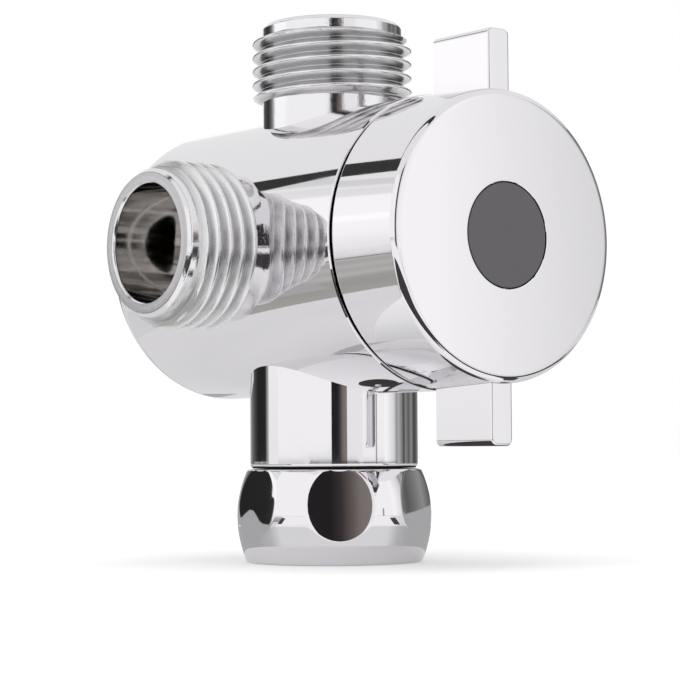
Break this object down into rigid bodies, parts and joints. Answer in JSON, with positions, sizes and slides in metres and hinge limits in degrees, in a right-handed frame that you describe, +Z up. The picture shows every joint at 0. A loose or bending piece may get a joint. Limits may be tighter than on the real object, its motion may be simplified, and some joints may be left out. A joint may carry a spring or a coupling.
{
  "type": "shower diverter valve",
  "caption": "Chromed shower diverter with a round barrel, swivel nut inlet, threaded top and side outlets and a winged turning knob.",
  "frame": {"origin": "centre of the inlet nut's mouth", "axes": "+Z up the inlet and top outlet axis; knob towards -Y; side outlet towards -X"},
  "size_m": [0.0481, 0.0596, 0.0705],
  "materials": {
    "chrome_plate": "polished plating over brass",
    "brass": "turned",
    "rubber": "moulded, matt",
    "steel": "bright stainless",
    "white_plastic": "low-friction, matt",
    "grey_plastic": "satin"
  },
  "bodies": {
    "valve_body": {"valve_body": "chrome_plate", "inlet_tailpiece": "brass", "tailpiece_o_ring": "rubber", "inlet_washer": "rubber", "filter_screen": "steel", "gland_nut": "brass", "gland_o_ring": "rubber", "thrust_washer": "white_plastic", "stop_pin": "steel"},
    "knob": {"knob": "chrome_plate", "knob_insert": "grey_plastic", "knob_screw": "steel", "spindle": "brass", "spindle_o_ring_back": "rubber", "spindle_o_ring_front": "rubber", "port_seal": "rubber", "port_seal_spring": "steel", "detent_ball": "steel", "detent_spring": "steel"},
    "swivel_nut": {"swivel_nut": "chrome_plate"}
  },
  "joints": [
    {"name": "knob_turn", "type": "hinge", "parent": "valve_body", "child": "knob", "pos_m": [0, 0, 0.0402], "axis": [0, 1, 0], "range_deg": [-90, 90]},
    {"name": "nut_swivel", "type": "hinge", "parent": "valve_body", "child": "swivel_nut", "pos_m": [0, 0, 0.006], "axis": [0, 0, 1], "continuous": true}
  ]
}
